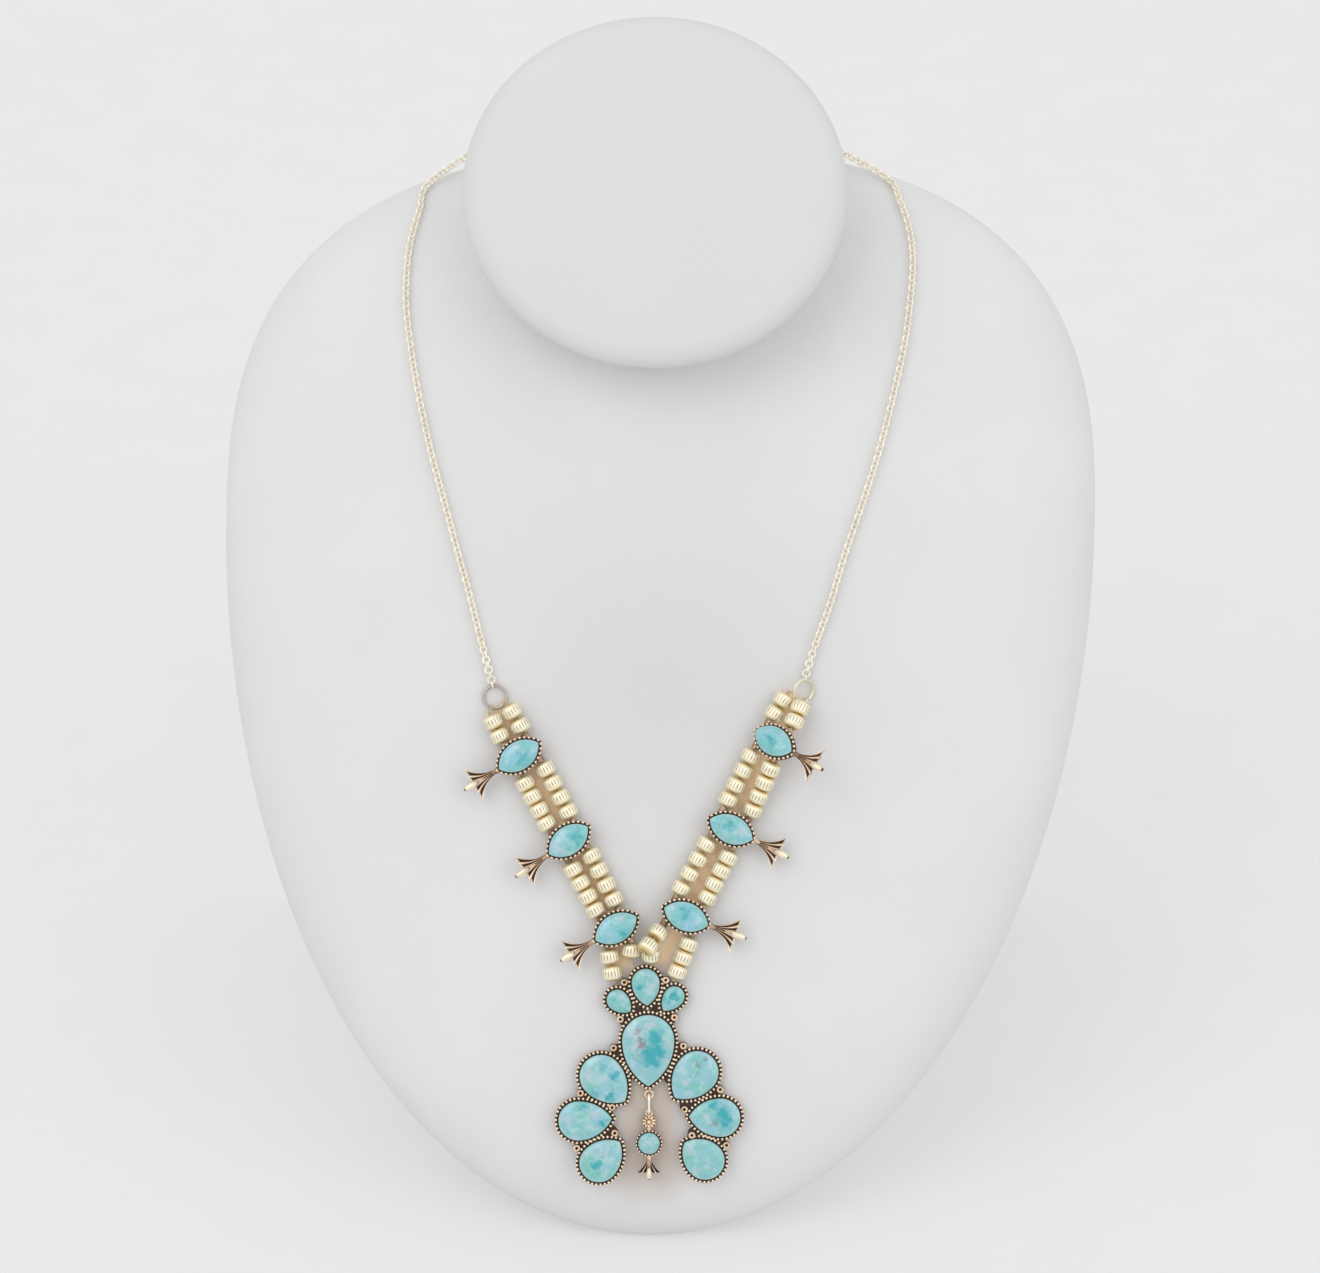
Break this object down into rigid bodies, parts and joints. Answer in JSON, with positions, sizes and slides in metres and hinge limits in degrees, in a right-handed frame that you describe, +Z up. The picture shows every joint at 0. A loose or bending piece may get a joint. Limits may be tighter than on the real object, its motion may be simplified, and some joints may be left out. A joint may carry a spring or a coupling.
{
  "type": "squash blossom necklace on a neck bust",
  "caption": "Necklace of fluted gold beads and fine chain with marquise turquoise stations, flared blossoms and a crescent pendant of pear stones, laid round a plain neck bust.",
  "frame": {"origin": "middle of the bust's flat base, on the surface that it stands on", "axes": "+Z up; -Y is the side that the chest faces; +X is to the right in the picture"},
  "size_m": [0.236, 0.1834, 0.3033],
  "materials": {
    "bust_cover": "matte white leatherette with a fine grain",
    "pale_gold": "pale champagne gold, polished",
    "bead_gold": "pale gold, polished, with yellow shaded ends",
    "old_gold": "antique gold, oxidised brown black in its recesses",
    "turquoise": "polished turquoise with teal patches, pale veils and grey brown matrix",
    "thread": "gold coloured bead cord"
  },
  "bodies": {
    "root": {"neck_bust": "bust_cover", "chain_left": "pale_gold", "chain_right": "pale_gold", "clasp": "pale_gold", "jump_ring_left": "pale_gold", "jump_ring_right": "pale_gold", "beads_left_outer": "bead_gold", "beads_left_inner": "bead_gold", "beads_right_inner": "bead_gold", "beads_right_outer": "bead_gold", "thread_left_outer": "thread", "thread_left_inner": "thread", "thread_right_inner": "thread", "thread_right_outer": "thread", "station_left_1": "old_gold", "station_left_2": "old_gold", "station_left_3": "old_gold", "station_right_1": "old_gold", "station_right_2": "old_gold", "station_right_3": "old_gold", "stone_left_1": "turquoise", "stone_left_2": "turquoise", "stone_left_3": "turquoise", "stone_right_1": "turquoise", "stone_right_2": "turquoise", "stone_right_3": "turquoise", "naja_frame": "old_gold", "naja_stone_top": "turquoise", "naja_stone_top_left": "turquoise", "naja_stone_top_right": "turquoise", "naja_stone_main": "turquoise", "naja_stone_left_1": "turquoise", "naja_stone_left_2": "turquoise", "naja_stone_left_3": "turquoise", "naja_stone_right_1": "turquoise", "naja_stone_right_2": "turquoise", "naja_stone_right_3": "turquoise", "drop_link": "pale_gold", "drop_setting": "old_gold", "drop_stone": "turquoise"}
  },
  "joints": []
}
